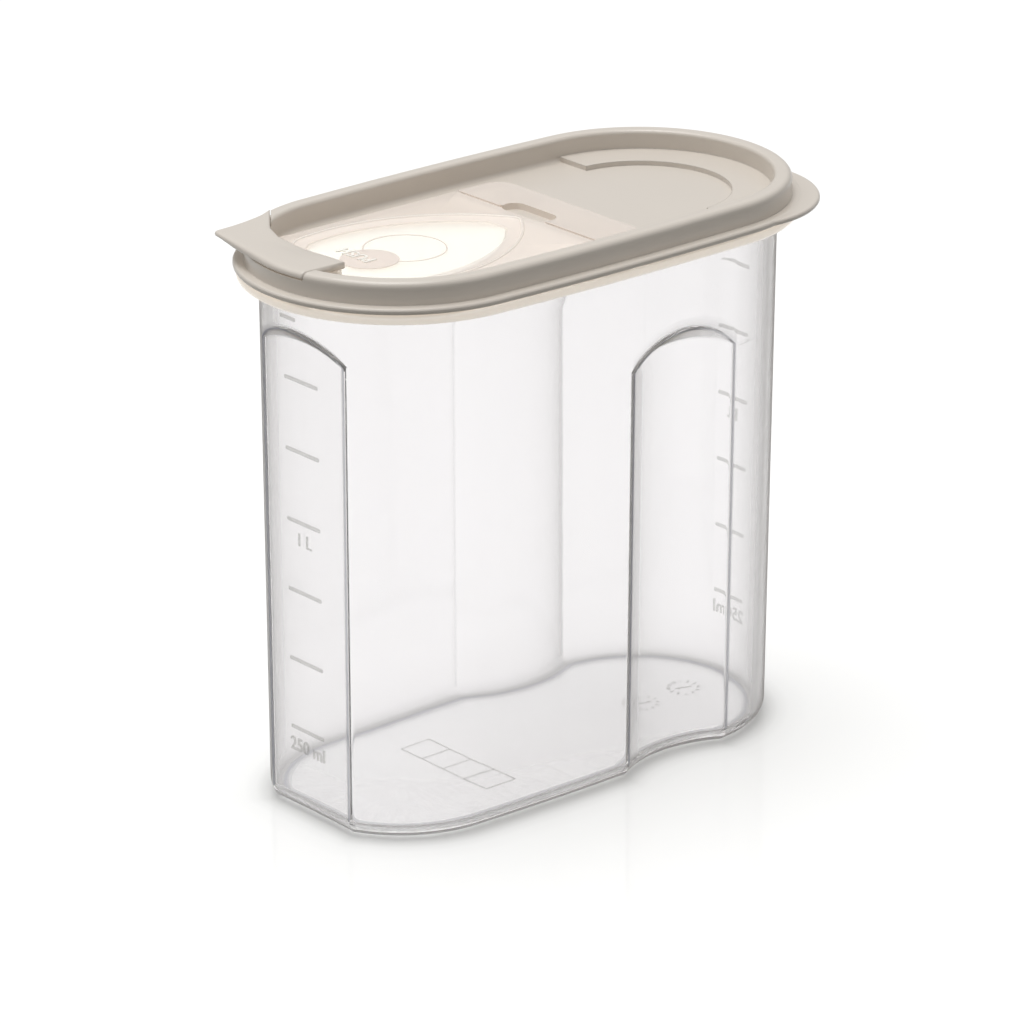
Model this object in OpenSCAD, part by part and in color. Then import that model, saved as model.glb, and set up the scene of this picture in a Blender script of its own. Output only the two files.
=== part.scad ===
/* [Container] */
// Length of the container at its base, over the round ends
base_length = 173.7; // [165:0.1:200]
// Width of the container at its base
base_width = 80.9; // [76:0.1:90]
// How far each long side swells out beyond a straight side
side_swell = 1.0; // [0.6:0.1:2]
// Height of the underside of the rim collar above the table
collar_z = 162.6; // [150:0.1:190]
// How far the walls lean out over that height
draft = 1.2; // [0.6:0.1:2.5]
// Wall thickness
wall = 1.8; // [1.4:0.1:2.4]
// Floor thickness
floor_t = 2.6; // [2:0.1:3.5]
// Radius of the rounded edge under the base
base_fillet = 5; // [3:0.5:6]
// How far the rim collar stands out from the wall
collar_reach = 6.6; // [5:0.1:8]
// Thickness of the rim collar
collar_t = 3.0; // [2.4:0.1:4]

/* [Flat scale end] */
// Depth of the flat, measured from the round end
flat_depth = 4.55; // [3:0.05:5.5]
// Height of the top of the flat's arch
flat_top = 153.8; // [120:0.1:156]
// Radius of the arch over the flat
flat_arch_r = 32.5; // [24:0.5:44]
// Half width of the arch
flat_half_w = 18.6; // [18.5:0.1:22]
// Spacing of the scale bars, one for each quarter litre
bar_step = 22; // [18:0.5:24]
// Height of the lowest scale bar
bar_first_z = 27.2; // [20:0.1:34]
// Number of scale bars
bar_count = 6; // [3:1:6]
// Length of a scale bar
bar_length = 15.2; // [8:0.1:20]
// Height of a scale bar
bar_h = 1.2; // [0.8:0.1:2]
// How far a scale bar stands out of the wall
bar_relief = 0.35; // [0.2:0.05:0.5]

/* [Grip hollows] */
// Distance of the hollows' middle ahead of the centre of the rear end
grip_ahead = 19.2; // [14:0.1:28]
// Half width of a hollow
grip_half_w = 20.4; // [16:0.1:24]
// Depth of a hollow at its middle
grip_depth = 5.5; // [3:0.1:7]
// Height of the top of the hollow's arch
grip_top = 138.7; // [110:0.1:150]
// How far the arch over a hollow is wider than the hollow, on each side
grip_shoulder = 2; // [1:0.5:4]
// Radius of the arch over a hollow
grip_arch_r = 36; // [28:0.5:48]
// How steeply the roofs of the hollows and of the flat fall inwards
roof_slope = 40; // [20:1:50]
// Radius of the arches' corners
arch_corner_r = 4; // [2:0.5:6]

/* [Lid] */
// Gap between the lid's plate and the rim collar
lid_gap = 0.4; // [0.3:0.05:1]
// Thickness of the lid's floor
plate_t = 1.5; // [1.2:0.1:2]
// Thickness of the lid's flange
flange_t = 2.0; // [1.6:0.1:3]
// How far the flange stands out beyond the rim collar
flange_over = 0.9; // [0.3:0.1:2]
// Height of the ring's top above the lid's underside
ring_h = 8.8; // [7:0.1:12]
// Width of the ring
ring_w = 5.5; // [4.8:0.1:8]
// How far the ring's outer wall stands out from the container's wall
ring_reach = 4.3; // [3.5:0.1:5]
// Wall thickness of the hollow ring
ring_wall = 1.6; // [1.2:0.1:1.8]
// Outer rounding of the ring's top
ring_round = 2.0; // [1:0.1:2.4]
// Inner rounding of the ring's top
ring_round_in = 1.3; // [0.8:0.1:1.8]
// Radius of the hollow between the ring and the lid's floor
floor_cove = 1.4; // [0.8:0.1:2]
// Depth of the plug wall inside the mouth
plug_depth = 4.4; // [3:0.1:8]
// Thickness of the plug wall
plug_t = 1.4; // [1.2:0.1:2]
// Gap between the plug wall and the container's wall
plug_gap = 0.35; // [0.3:0.05:0.6]
// Taper at the foot of the plug wall
plug_lead = 0.6; // [0.3:0.1:0.8]

/* [Grips on the lid] */
// Direction of the thumb tab, seen from the centre of the rear end
tab_angle = -43; // [-60:1:-38]
// How far the thumb tab stands out beyond the flange
tab_reach = 5.2; // [3:0.1:5.5]
// Radius of the thumb tab's edge
tab_r = 34; // [28:0.5:36]
// Direction of the flap's pull point, seen from the centre of the front end
prow_angle = 137; // [130:1:145]
// How far the pull point stands out beyond the ring
prow_reach = 8.4; // [6:0.1:9.5]
// Radius of the pull point's tip
prow_tip_r = 1.8; // [1.2:0.1:2.5]
// How far the pull point's far flank curves in from a straight line
prow_hollow = 1.6; // [0:0.1:2.5]

/* [Spout flap] */
// Distance of the hinge line from the middle of the lid
hinge_x = 2.6; // [0:0.1:8]
// Distance of the rear edge of the hinge strip from the middle of the lid
strip_x = 19.5; // [16:0.1:26]
// Half width of the flap and the hinge strip
flap_half_w = 32.5; // [31:0.1:34]
// Thickness of the flap and the hinge strip
flap_t = 1.7; // [1.2:0.1:2.2]
// Gap between the flap and the lid's floor
flap_gap = 0.3; // [0.2:0.05:0.5]
// Gap between the flap and the ring
flap_side_gap = 2.0; // [1.5:0.1:4]
// Width of the thin film at the hinge line
film_w = 1.2; // [0.8:0.1:2]
// Thickness of the thin film
film_t = 0.5; // [0.4:0.05:0.8]
// Length of the slot in the middle of the hinge line
slot_l = 20.5; // [12:0.5:26]
// Width of the slot
slot_w = 7.6; // [5:0.1:10]
// Distance of the slot's middle behind the hinge line
slot_behind = 2.5; // [0:0.1:3]
// Distance of the slot's middle from the lid's long axis
slot_y = 3; // [-6:0.5:8]
// Corner radius of the hinge strip
strip_corner_r = 6; // [3:0.5:10]
// Distance of the flap's front upstand from the centre of the front end
upstand_out = 28.1; // [26:0.1:30]
// Thickness of the upstand
upstand_t = 1.5; // [1.2:0.1:2]
// Thickness of the flap's lip
lip_t = 2.0; // [1.6:0.1:2.6]
// Distance of the lip's near end from the lid's long axis
lip_near_y = -10; // [-16:0.5:-4]
// Distance of the upstand's far corner from the lid's long axis
lip_corner_y = 20; // [16:0.5:24]
// Distance of the lip's far end from the centre of the front end
lip_far_out = 24.6; // [23:0.1:26]
// Distance of the lip's far end from the lid's long axis
lip_far_y = 28.7; // [26:0.1:31]
// Direction of the cut at the lip's far end
lip_far_dir = 52; // [45:1:60]

/* [Leaf opening] */
// Distance of the leaf's tip from the middle of the lid
leaf_tip_x = 7; // [4:0.5:12]
// Distance of the leaf's widest place from the centre of the front end
leaf_wide_out = 3.6; // [0:0.1:8]
// Half width of the leaf at its widest place
leaf_half_w = 23; // [18:0.5:24]
// Radius of the leaf's blunt front, from the centre of the lid's round end
leaf_front_r = 26.5; // [22:0.5:27]
// Height of the flap's plug wall
leaf_plug_h = 4.6; // [3:0.1:6]
// Thickness of the flap's plug wall
leaf_plug_t = 1.2; // [1:0.1:1.6]
// Gap between the plug wall and the opening's edge
leaf_gap = 0.4; // [0.35:0.05:0.6]
// Width of the border between the leaf opening and the edge of the flap's shallow dish
dish_border = 4; // [2.5:0.5:4.5]
// Depth of the dish
dish_depth = 0.6; // [0.3:0.1:0.8]

/* [Rear of the lid] */
// Inner radius of the raised crescent
crescent_r = 27; // [20:0.5:33]
// Height of the raised crescent above the lid's floor
crescent_h = 1.5; // [0.8:0.1:3]
// Distance of the crescent's ends behind the centre of the rear end
crescent_start = 1.4; // [0.5:0.1:4]

/* [Hidden] */
$fn = 96;
// Longer and wider than anything that it cuts
reach = 400;
core_inset = 12;
// Four-arc oval: round ends and long sides of very large radius that run into each other.
// The join's angle and the sides' centre are rounded, so that the arcs meet to well under a micron.
function rounded(v) = round(v * 100) / 100;
end_run = base_length / 2 - base_width / 2 + side_swell;
join = rounded(atan2(end_run * end_run - side_swell * side_swell, 2 * end_run * side_swell));
side_c = rounded(end_run * tan(join));
side_r = side_c + base_width / 2;
end_x = side_c / tan(join);
end_r = side_r - side_c / sin(join);
side_fn = 1200;
core_r = end_r - core_inset + 1 + side_swell;
bend_steps = 5;
// Places measured from the centres of the round ends
grip_x = end_x - grip_ahead;
upstand_x = end_x + upstand_out;
lip_far_x = end_x + lip_far_out;
leaf_wide_x = end_x + leaf_wide_out;
// Lean of the walls
lean = atan2(draft, collar_z);
// Heights
rim_z = collar_z + collar_t;
lid_z = rim_z + lid_gap;
floor_z = lid_z + plate_t;
ring_z = lid_z + ring_h;
flange_reach = collar_reach + flange_over;
ring_inner = ring_reach - ring_w;
// Flap levels
flap_z = floor_z + flap_gap;
flap_top = flap_z + flap_t;
lip_z = ring_z - lip_t;
notch_z = lip_z - flap_gap;
film_half = film_w / 2;
film_r = film_t / 2;
slot_x = hinge_x + slot_behind;
slot_end = (slot_l - slot_w) / 2;
// Radii about the centres of the lid's round ends
ring_out_r = end_r + draft + ring_reach;
ring_in_r = end_r + draft + ring_inner;
flange_r = end_r + draft + flange_reach;
flap_front_r = ring_in_r - flap_side_gap;
tab_centre = flange_r + tab_reach - tab_r;
tab_step = 0.12;
prow_root_r = ring_out_r - 0.3;
skin = 0.15;
// Pull point
prow_tip = ring_out_r + prow_reach - prow_tip_r;
prow_slope = acos((ring_out_r - prow_tip_r) / prow_tip);
// Leaf outline: two long sides that meet at the tip
leaf_run = leaf_wide_x - leaf_tip_x;
leaf_side_r = (leaf_run * leaf_run + leaf_half_w * leaf_half_w) / (2 * leaf_half_w);

// Moves along X by a round length and then by what is left of it, so that no digit of the sum is lost
module along_x(length) {
  translate([rounded(length), 0, 0]) translate([length - rounded(length), 0, 0]) children();
}

// Carries a profile, drawn as (distance outside the base outline, height), round the oval
module around() {
  for (turn = [0, 180]) {
    rotate([0, 0, turn]) {
      along_x(end_x) rotate_extrude(start = -join, angle = 2 * join) along_x(end_r) children();
      translate([0, -side_c, 0]) rotate_extrude(start = join, angle = 180 - 2 * join, $fn = side_fn)
        along_x(side_r) children();
    }
  }
}

// Straight-sided middle that fills the oval inside a carried profile
module core(z0, z1) {
  translate([0, 0, z0]) {
    for (side = [-1, 1]) translate([side * end_x, 0, 0]) cylinder(r = core_r, h = z1 - z0);
    translate([-end_x, -core_r, 0]) cube([2 * end_x, 2 * core_r, z1 - z0]);
  }
}

function wall_at(z) = draft * z / collar_z;

// Points of a rounded corner, from one angle to another
function bend(cx, cz, r, from, to) = [for (i = [0 : bend_steps]) let (a = from + (to - from) * i / bend_steps)
  [cx + r * cos(a), cz + r * sin(a)]];

// Half section of a tub: flat bottom at z0, edge of radius r, leaning wall up to z1, moved in by inset
module tub_section(z0, z1, r, inset) {
  polygon(concat(
    [[-core_inset, z0]],
    bend(wall_at(z0 + r) - inset - r, z0 + r, r, -90, -lean),
    [[wall_at(z1) - inset, z1], [-core_inset, z1]]
  ));
}

// Section of the rim collar, from the wall's outside to a rounded edge
module collar_section() {
  r = collar_t / 2;
  polygon(concat(
    [[wall_at(rim_z), rim_z], [draft, collar_z]],
    bend(draft + collar_reach - r, collar_z + r, r, -90, 90)
  ));
}

// Upright arch with rounded shoulders, from far below z = 0 up to top
module arch(half_w, top, r, corner) {
  cz = top - r;
  sx = half_w - corner;
  sz = cz + sqrt((r - corner) * (r - corner) - sx * sx);
  spread = reach / corner;
  translate([-half_w, -reach]) square([2 * half_w, sz + reach]);
  for (side = [-1, 1]) translate([side * sx, sz]) circle(corner);
  intersection() {
    translate([0, cz]) circle(r);
    polygon([[0, cz], [sx * spread, cz + (sz - cz) * spread], [-sx * spread, cz + (sz - cz) * spread]]);
  }
}

// Carries an arch inwards and down from its top at the origin, towards +Y
module roofed(half_w, r, grow) {
  rotate([90 - roof_slope, 0, 0]) translate([0, 0, -reach / 2])
    linear_extrude(height = reach) arch(half_w + grow, grow, r + grow, arch_corner_r + grow);
}

// Cuts a grip hollow into the long side at -Y; grow makes the same hollow for the inside of the wall
module grip_cut(grow) {
  r = (grip_half_w * grip_half_w + grip_depth * grip_depth) / (2 * grip_depth);
  side_y = base_width / 2 - grip_x * grip_x / (2 * side_r);
  intersection() {
    translate([grip_x, -(side_y + r - grip_depth), 0]) rotate([lean, 0, 0])
      cylinder(r = r + grow, h = reach, center = true);
    translate([grip_x, -(side_y + wall_at(grip_top)), grip_top])
      roofed(grip_half_w + grip_shoulder, grip_arch_r, grow);
  }
}

// Cuts the flat into the round end at -X
module flat_cut(grow) {
  intersection() {
    translate([-(base_length / 2 - flat_depth - grow), 0, 0]) rotate([0, -lean, 0])
      translate([-reach / 2, 0, 0]) cube(reach, center = true);
    translate([-(base_length / 2 + wall_at(flat_top)), 0, flat_top]) rotate([0, 0, -90])
      roofed(flat_half_w, flat_arch_r, grow);
  }
}

module hollows(grow) {
  flat_cut(grow);
  grip_cut(grow);
  mirror([0, 1, 0]) grip_cut(grow);
}

// Raised scale bars on the flat and on the round end opposite it
module scale_bars() {
  spread = asin(bar_length / 2 / end_r);
  bar_t = bar_relief + wall / 2;
  for (i = [0 : bar_count - 1]) {
    z = bar_first_z + i * bar_step;
    translate([-(base_length / 2 - flat_depth + wall_at(z) + bar_relief), -bar_length / 2, z - bar_h / 2])
      cube([bar_t, bar_length, bar_h]);
    translate([end_x, 0, z - bar_h / 2]) rotate([0, 0, -spread]) rotate_extrude(angle = 2 * spread)
      translate([end_r + wall_at(z) + bar_relief - bar_t, 0]) square([bar_t, bar_h]);
  }
}

module container_body() {
  color([0.93, 0.94, 0.94, 0.35]) {
    difference() {
      union() {
        around() tub_section(0, rim_z, base_fillet, 0);
        core(0, rim_z);
      }
      hollows(0);
      difference() {
        union() {
          around() tub_section(floor_t, rim_z + 1, base_fillet - wall, wall);
          core(floor_t, rim_z + 1);
        }
        hollows(wall);
      }
    }
    scale_bars();
  }
}

// Collar round the mouth, moulded in one with the container
module rim_collar() {
  color([0.93, 0.94, 0.94, 0.35]) around() collar_section();
}

// Section of the lid: floor, flange with a rounded edge, and the tall rounded ring between them
module lid_section() {
  edge = flange_t / 2;
  translate([draft, lid_z]) polygon(concat(
    [[-core_inset - draft, 0]],
    bend(flange_reach - edge, edge, edge, -90, 90),
    [[ring_reach, flange_t]],
    bend(ring_reach - ring_round, ring_h - ring_round, ring_round, 0, 90),
    bend(ring_inner + ring_round_in, ring_h - ring_round_in, ring_round_in, 90, 180),
    bend(ring_inner - floor_cove, plate_t + floor_cove, floor_cove, 0, -90),
    [[-core_inset - draft, plate_t]]
  ));
}

// Section of the wall that plugs the mouth, tapered at its foot, and of the rib that rests on the rim collar
module seat_section() {
  out = -wall - plug_gap;
  translate([draft, lid_z]) {
    polygon([
      [out, plate_t / 2],
      [out, plug_lead - plug_depth],
      [out - plug_lead, -plug_depth],
      [out - plug_t, -plug_depth],
      [out - plug_t, plate_t / 2]
    ]);
    translate([ring_reach - ring_wall + skin, -lid_gap]) square([ring_wall - skin, lid_gap + flange_t / 2]);
  }
}

// Section of the hollow under the ring
module groove_section() {
  translate([draft + ring_inner + ring_wall, lid_z - plate_t])
    square([ring_w - 2 * ring_wall, plate_t + ring_h - ring_wall]);
}

// Plan of the flap's lip, from its near end round to its far end
module lip_plan(grow) {
  edge = -upstand_x + grow;
  cut = [-lip_far_x + grow * sin(lip_far_dir), lip_far_y - grow * cos(lip_far_dir)];
  polygon([
    [edge, lip_near_y - grow],
    [edge, lip_corner_y],
    cut,
    cut + reach * [cos(lip_far_dir), sin(lip_far_dir)],
    [-reach, reach],
    [-reach, lip_near_y - grow]
  ]);
}

// Plan of the leaf: pointed at the hinge, blunt at the spout
module leaf_plan(grow) {
  intersection() {
    translate([-leaf_wide_x, leaf_half_w - leaf_side_r]) circle(leaf_side_r + grow, $fn = 240);
    translate([-leaf_wide_x, leaf_side_r - leaf_half_w]) circle(leaf_side_r + grow, $fn = 240);
    translate([-leaf_wide_x, 0]) union() {
      translate([0, -reach / 2]) square(reach);
      translate([leaf_wide_x - end_x, 0]) circle(leaf_front_r + grow);
    }
  }
}

// Raised crescent against the ring at the rear
module crescent() {
  intersection() {
    translate([end_x, 0, floor_z - plate_t / 2]) rotate([0, 0, -90]) rotate_extrude(angle = 180)
      translate([crescent_r, 0]) square([ring_in_r - crescent_r + ring_wall / 2, crescent_h + plate_t / 2]);
    translate([end_x + crescent_start, -reach / 2, 0]) cube([reach, reach, reach]);
  }
}

// Thumb tab that grows out of the flange
module thumb_tab() {
  edge = flange_t / 2 - tab_step;
  difference() {
    translate([end_x, 0, lid_z + tab_step]) rotate([0, 0, tab_angle]) translate([tab_centre, 0, 0])
      rotate_extrude() polygon(concat([[0, 2 * edge], [0, 0]], bend(tab_r - edge, edge, edge, -90, 90)));
    translate([end_x, 0, 0]) cylinder(r = flange_r - flange_t, h = 2 * reach, center = true);
  }
}

module lid() {
  color([0.86, 0.82, 0.78]) {
    difference() {
      union() {
        around() lid_section();
        core(lid_z, floor_z);
        crescent();
      }
      // Hollow under the ring, kept low where the ring is cut down for the lip
      difference() {
        around() groove_section();
        translate([0, 0, notch_z - ring_wall]) linear_extrude(height = ring_h) lip_plan(flap_gap + ring_wall);
      }
      translate([0, 0, notch_z]) linear_extrude(height = ring_h) lip_plan(flap_gap);
      translate([0, 0, lid_z - plate_t]) linear_extrude(height = 3 * plate_t) leaf_plan(0);
    }
    thumb_tab();
    around() seat_section();
  }
}

// Slot in the middle of the hinge line
module slot() {
  translate([slot_x, slot_y, 0]) {
    for (side = [-1, 1]) translate([0, side * slot_end, 0]) cylinder(d = slot_w, h = reach, center = true);
    cube([slot_w, 2 * slot_end, 2 * reach], center = true);
  }
}

module hinge_strip() {
  front = hinge_x + film_half;
  length = strip_x - front;
  corner_y = flap_half_w - strip_corner_r;
  t = flap_top - floor_z;
  color([0.90, 0.87, 0.82]) difference() {
    translate([front, 0, floor_z]) {
      translate([0, -flap_half_w, 0]) cube([length - strip_corner_r, 2 * flap_half_w, t]);
      translate([0, -corner_y, 0]) cube([length, 2 * corner_y, t]);
      for (side = [-1, 1]) translate([length - strip_corner_r, side * corner_y, 0])
        cylinder(r = strip_corner_r, h = t);
    }
    slot();
  }
}

// Bead of thin plastic along the hinge line, one length on each side of the slot
module hinge_film() {
  color([0.92, 0.89, 0.85]) for (side = [-1, 1])
    translate([hinge_x, side * flap_half_w, flap_top]) rotate([side * 90, 0, 0])
      cylinder(r = film_r, h = flap_half_w - side * slot_y - slot_l / 2);
}

// Points between two ends of a line that sags to its left
function sagging(from, to, sag) = let (run = to - from, side = [-run[1], run[0]] / norm(run))
  [for (i = [1 : bend_steps - 1]) let (t = i / bend_steps) from + t * run + 4 * sag * t * (1 - t) * side];

// Flap's pull point, drawn out of the ring's outer edge by a hollow flank on the far side and a straight one
module prow() {
  s = prow_slope;
  root = prow_root_r * [cos(s), -sin(s)];
  near_root = prow_root_r * [cos(s), sin(s)];
  tip = bend(prow_tip, 0, prow_tip_r, -s, s);
  translate([-end_x, 0, lip_z + skin]) rotate([0, 0, prow_angle])
    linear_extrude(height = lip_t - 2 * skin)
      polygon(concat([[0, 0], root], sagging(root, tip[0], prow_hollow), tip, [near_root]));
}

module flap_panel() {
  difference() {
    intersection() {
      union() {
        around() translate([-core_inset, flap_z]) square([flap_front_r - end_r + core_inset, flap_t]);
        core(flap_z, flap_top);
      }
      translate([-reach, -flap_half_w, 0]) cube([reach + hinge_x - film_half, 2 * flap_half_w, reach]);
    }
    slot();
    translate([0, 0, flap_top - dish_depth]) linear_extrude(height = flap_t) leaf_plan(dish_border);
  }
}

// Upright wall that carries the lip above the panel
module upstand() {
  foot = flap_z + flap_t / 2;
  translate([0, 0, foot]) linear_extrude(height = lip_z + lip_t / 2 - foot) intersection() {
    difference() {
      lip_plan(-skin);
      lip_plan(-upstand_t);
    }
    translate([-end_x, 0]) circle(flap_front_r - skin);
  }
}

// Lip that fills the notch of the ring, drawn out to the pull point
module lip() {
  intersection() {
    union() {
      translate([-end_x, 0, 0]) rotate_extrude() polygon(concat(
        [[0, ring_z], [0, lip_z], [ring_out_r, lip_z]],
        bend(ring_out_r - ring_round, ring_z - ring_round, ring_round, 0, 90)
      ));
      prow();
    }
    translate([0, 0, lip_z - lip_t]) linear_extrude(height = 3 * lip_t) lip_plan(0);
  }
}

// Rim under the leaf that plugs the pouring opening
module leaf_plug() {
  translate([0, 0, flap_z - leaf_plug_h]) linear_extrude(height = leaf_plug_h + flap_t / 2) difference() {
    leaf_plan(-leaf_gap);
    leaf_plan(-leaf_gap - leaf_plug_t);
  }
}

module spout_flap() {
  color([0.93, 0.90, 0.86]) {
    flap_panel();
    upstand();
    lip();
    leaf_plug();
  }
}

container_body();
rim_collar();
lid();
hinge_strip();
hinge_film();
spout_flap();
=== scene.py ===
import math
import bmesh
import bpy
import numpy as np
from mathutils import Matrix


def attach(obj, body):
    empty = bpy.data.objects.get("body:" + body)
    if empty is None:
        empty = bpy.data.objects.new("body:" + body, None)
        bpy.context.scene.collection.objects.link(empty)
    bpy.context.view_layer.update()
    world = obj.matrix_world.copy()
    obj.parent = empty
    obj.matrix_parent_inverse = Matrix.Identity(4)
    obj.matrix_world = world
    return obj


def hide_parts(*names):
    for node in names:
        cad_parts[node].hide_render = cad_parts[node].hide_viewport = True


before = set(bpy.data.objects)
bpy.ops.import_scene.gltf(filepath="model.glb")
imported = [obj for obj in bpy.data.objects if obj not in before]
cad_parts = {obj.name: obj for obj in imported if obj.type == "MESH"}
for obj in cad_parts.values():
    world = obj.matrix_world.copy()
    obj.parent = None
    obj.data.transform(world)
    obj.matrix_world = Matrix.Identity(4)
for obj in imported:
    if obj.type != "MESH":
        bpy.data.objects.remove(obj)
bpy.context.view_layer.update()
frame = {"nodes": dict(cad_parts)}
bpy.context.scene.view_settings.view_transform = "Standard"
print("frame loaded:", ", ".join(frame["nodes"]))

mm = 0.001  # all sizes below are in millimetres


def linearHex(code):
    # sRGB hex to linear light, channel by channel
    channels = [int(code[i:i + 2], 16) / 255 for i in (1, 3, 5)]
    return tuple(c / 12.92 if c <= 0.04045 else ((c + 0.055) / 1.055) ** 2.4 for c in channels) + (1.0,)


def addNode(tree, kind, settings=None, **inputs):
    # one shader node with its settings, socket values and links; i0, i1 ... name a socket by its place,
    # a text value is a hex colour, and a node stands for its first output
    node = tree.nodes.new("ShaderNode" + kind)
    for key, value in (settings or {}).items():
        setattr(node, key, value)
    for key, value in inputs.items():
        name = key.replace("_", " ")
        socket = node.inputs[int(name[1:])] if name[0] == "i" and name[1:].isdigit() else node.inputs[name]
        if isinstance(value, str):
            value = linearHex(value)
        if isinstance(value, bpy.types.Node):
            value = value.outputs[0]
        if isinstance(value, bpy.types.NodeSocket):
            tree.links.new(value, socket)
        else:
            socket.default_value = value
    return node


def newMaterial(name):
    material = bpy.data.materials.new(name)
    material.use_nodes = True
    material.node_tree.nodes.clear()
    return material, material.node_tree


def meshObject(name, points, faces, material, smooth=True):
    mesh = bpy.data.meshes.new(name)
    mesh.from_pydata((np.asarray(points, dtype=float) * mm).tolist(), [], [list(f) for f in faces])
    mesh.polygons.foreach_set("use_smooth", np.full(len(mesh.polygons), smooth))
    mesh.materials.append(material)
    mesh.update()
    obj = bpy.data.objects.new(name, mesh)
    bpy.context.scene.collection.objects.link(obj)
    return obj


def gridFaces(rows, cols):
    # quads of a grid of rows x cols points, the last column joined to the first
    r = np.arange(rows - 1)[:, None]
    c = np.arange(cols)[None, :]
    n = (c + 1) % cols
    a = r * cols + c
    return np.stack([a, r * cols + n, (r + 1) * cols + n, (r + 1) * cols + c], axis=-1).reshape(-1, 4)


def atHeight(place, z):
    # a row of points from their places in plan and one height, or a height for each
    return np.column_stack([place, np.broadcast_to(z, (len(place),))])


def bandFaces(rows, count):
    # a closed section carried along a line, with both ends shut
    last = (rows - 1) * count
    return gridFaces(rows, count).tolist() + [list(range(count)), list(range(last, last + count))[::-1]]


def paintFaces(obj, extra, slots):
    for material in extra:
        obj.data.materials.append(material)
    obj.data.polygons.foreach_set("material_index", slots.astype(np.int32))


def pointValues(obj, name, values):
    layer = obj.data.attributes.new(name, "FLOAT", "POINT")
    layer.data.foreach_set("value", np.asarray(values, dtype=np.float32))


def mergeClose(obj, distance=1e-6, outwards=False, fillMiddle=False):
    # merges doubled points; fillMiddle shuts the small holes in the middle of polar rows
    bm = bmesh.new()
    bm.from_mesh(obj.data)
    if fillMiddle:
        bmesh.ops.holes_fill(bm, edges=[edge for edge in bm.edges if edge.is_boundary], sides=0)
        for face in bm.faces:
            if len(face.verts) > 4:
                face.material_index = min(len(obj.data.materials) - 1, 1)
                face.smooth = True
    bmesh.ops.remove_doubles(bm, verts=bm.verts, dist=distance)
    bmesh.ops.dissolve_degenerate(bm, edges=bm.edges, dist=distance)
    if outwards:
        bmesh.ops.recalc_face_normals(bm, faces=bm.faces)
    bm.to_mesh(obj.data)
    bm.free()


def arc(cx, cz, r, start, stop, count):
    # points of a rounded corner between two angles in degrees
    a = np.radians(np.linspace(start, stop, count))
    return np.stack([cx + r * np.cos(a), cz + r * np.sin(a)], axis=-1)


def smoothStep(x):
    t = np.clip(x, 0, 1)
    return t * t * (3 - 2 * t)


def resample(points, step, closed):
    # a polyline walked in even steps
    pts = np.vstack([points, points[:1]]) if closed else np.asarray(points, float)
    run = np.concatenate([[0], np.cumsum(np.linalg.norm(np.diff(pts, axis=0), axis=1))])
    count = max(int(round(run[-1] / step)), 4)
    s = np.linspace(0, run[-1], count + 1)[:-1] if closed else np.linspace(0, run[-1], count + 1)
    return np.stack([np.interp(s, run, pts[:, k]) for k in (0, 1)], axis=-1)


def sideways(along):
    # unit vectors to the right of each direction
    along = along / np.linalg.norm(along, axis=1, keepdims=True)
    return np.stack([along[:, 1], -along[:, 0]], axis=-1)


view = {
    "azimuth": -40.70, "elevation": 21.153, "roll": 0.071, "distance": 1615.7,
    "target": (-4.003, 0.0, 77.531), "focal": 5378.5, "frame": 1024, "sensor": 36.0,
    "clipEnd": 20.0,  # metres
}


def poseMatrix(axes, place):
    # from three axes in columns and a place in metres
    return Matrix([[*row, p] for row, p in zip(axes, place)] + [[0, 0, 0, 1]])


def placeCamera(v):
    az, el, roll = (math.radians(v[k]) for k in ("azimuth", "elevation", "roll"))
    back = np.array([math.sin(az) * math.cos(el), -math.cos(az) * math.cos(el), math.sin(el)])
    level = np.array([math.cos(az), math.sin(az), 0.0])
    upright = np.cross(back, level)
    right = level * math.cos(roll) + upright * math.sin(roll)
    up = upright * math.cos(roll) - level * math.sin(roll)
    place = (np.array(v["target"]) + back * v["distance"]) * mm
    camera = bpy.data.objects.new("camera", bpy.data.cameras.new("camera"))
    camera.matrix_world = poseMatrix(np.stack([right, up, back], axis=1), place)
    camera.data.sensor_width = v["sensor"]
    camera.data.lens = v["focal"] / v["frame"] * v["sensor"]
    camera.data.clip_end = v["clipEnd"]
    bpy.context.scene.collection.objects.link(camera)
    bpy.context.scene.camera = camera


placeCamera(view)
print("camera placed")


def seeThrough(tree, surface, share, tint, shadowShare):
    # lets a share of the light straight through, and another share of it for shadows, as a thin milky wall does
    path = addNode(tree, "LightPath")
    amount = addNode(tree, "Mix", {"data_type": "FLOAT"},
                     Factor=path.outputs["Is Shadow Ray"], i2=share, i3=shadowShare)
    through = addNode(tree, "BsdfTransparent", Color=tint)
    return addNode(tree, "MixShader", Fac=amount, i1=surface, i2=through)


haze = {"edgeOn": 1.15, "everywhere": 0.05, "alongPaintedLines": 0.6, "lostOnBacks": 0.65}


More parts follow.
